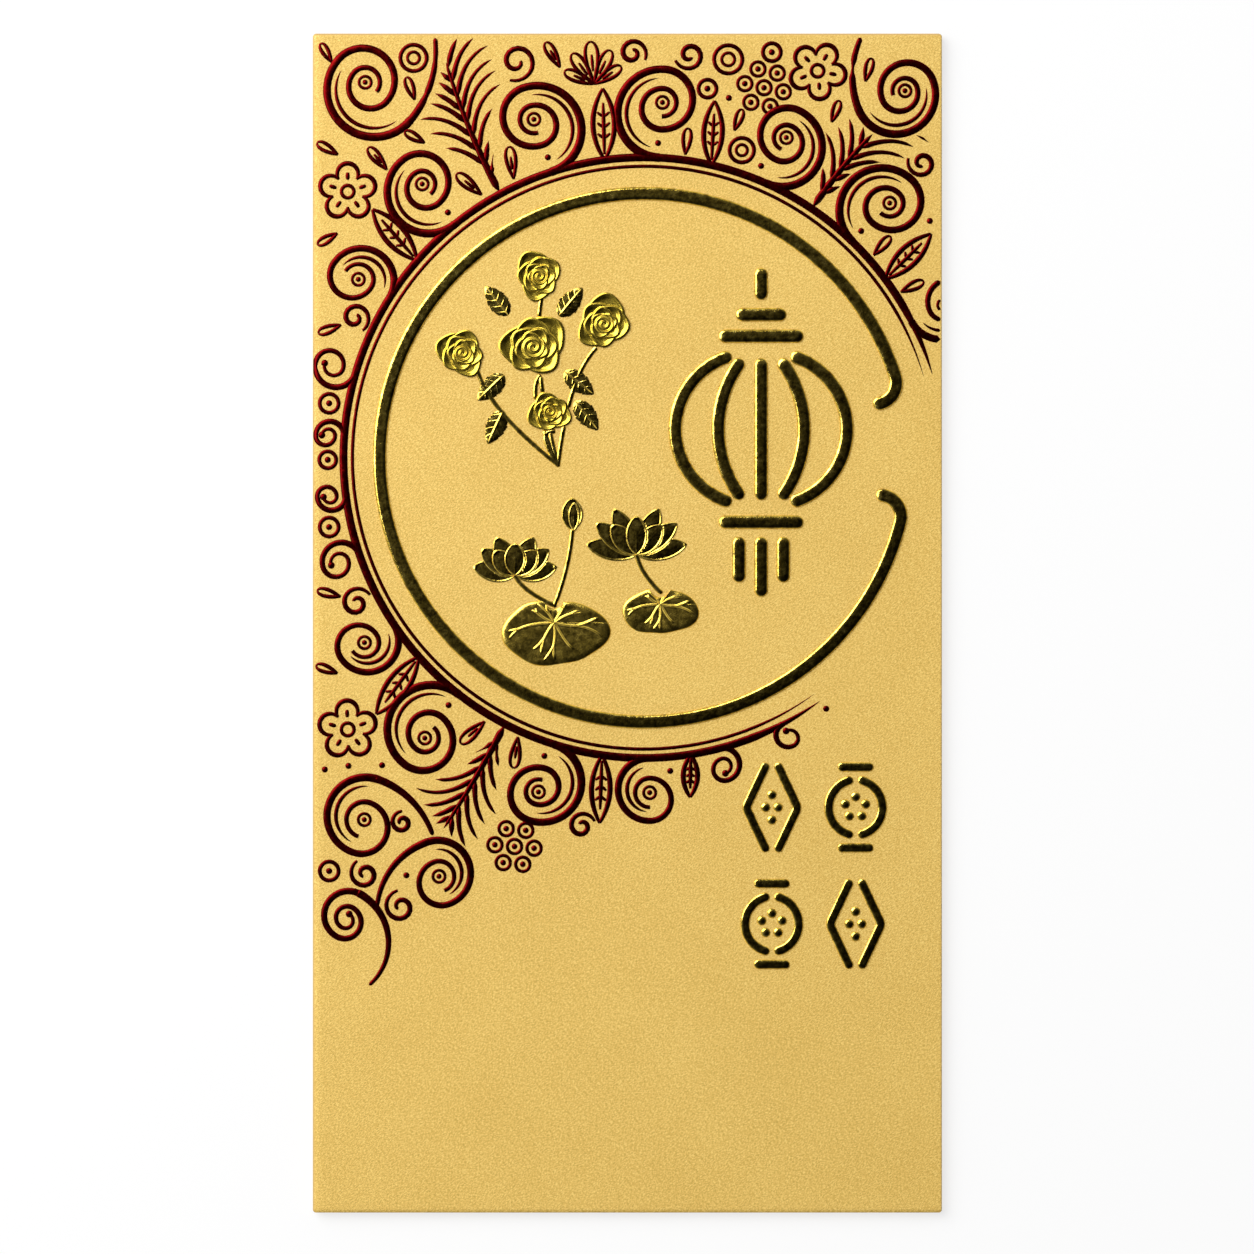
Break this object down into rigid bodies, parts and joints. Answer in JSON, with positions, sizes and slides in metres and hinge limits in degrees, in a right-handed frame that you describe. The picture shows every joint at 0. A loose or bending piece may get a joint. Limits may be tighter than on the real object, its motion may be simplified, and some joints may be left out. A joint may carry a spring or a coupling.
{
  "type": "money envelope",
  "caption": "Tall gold paper money packet with a hinged closing flap and embossed gold and red foil ornament on its front.",
  "frame": {"origin": "under the middle of the packet, on the surface that it lies on", "axes": "+X to the right across the front, +Y towards the closing flap, +Z out of the printed front"},
  "size_m": [0.088, 0.165, 0.0019],
  "materials": {
    "pearl_paper": "pearl gold",
    "gold_foil": "polished gold foil",
    "red_foil": "dark red foil",
    "glue": "dried adhesive"
  },
  "bodies": {
    "envelope": {"back_panel": "pearl_paper", "bottom_flap": "pearl_paper", "bottom_fold": "pearl_paper", "bottom_glue": "glue", "filigree_lower_left": "red_foil", "filigree_top_left": "red_foil", "filigree_top_right": "red_foil", "front_panel": "pearl_paper", "lantern_foil": "gold_foil", "left_fold": "pearl_paper", "lotus_bud": "gold_foil", "lotus_flower_1": "gold_foil", "lotus_flower_2": "gold_foil", "lotus_pad_1": "gold_foil", "lotus_pad_2": "gold_foil", "lotus_stems": "gold_foil", "medallion_1": "gold_foil", "medallion_2": "gold_foil", "medallion_3": "gold_foil", "medallion_4": "gold_foil", "right_fold": "pearl_paper", "ring_foil": "gold_foil", "rosette_1": "gold_foil", "rosette_2": "gold_foil", "rosette_3": "gold_foil", "rosette_4": "gold_foil", "rosette_5": "gold_foil", "rosette_leaves": "gold_foil", "rosette_stems": "gold_foil", "seam_tab": "pearl_paper", "side_glue": "glue", "top_crease": "pearl_paper"},
    "flap": {"top_flap": "pearl_paper"}
  },
  "joints": [
    {"name": "flap_hinge", "type": "hinge", "parent": "envelope", "child": "flap", "pos_m": [0, 0.08207, 0.00078], "axis": [1, 0, 0], "range_deg": [0, 180]}
  ]
}
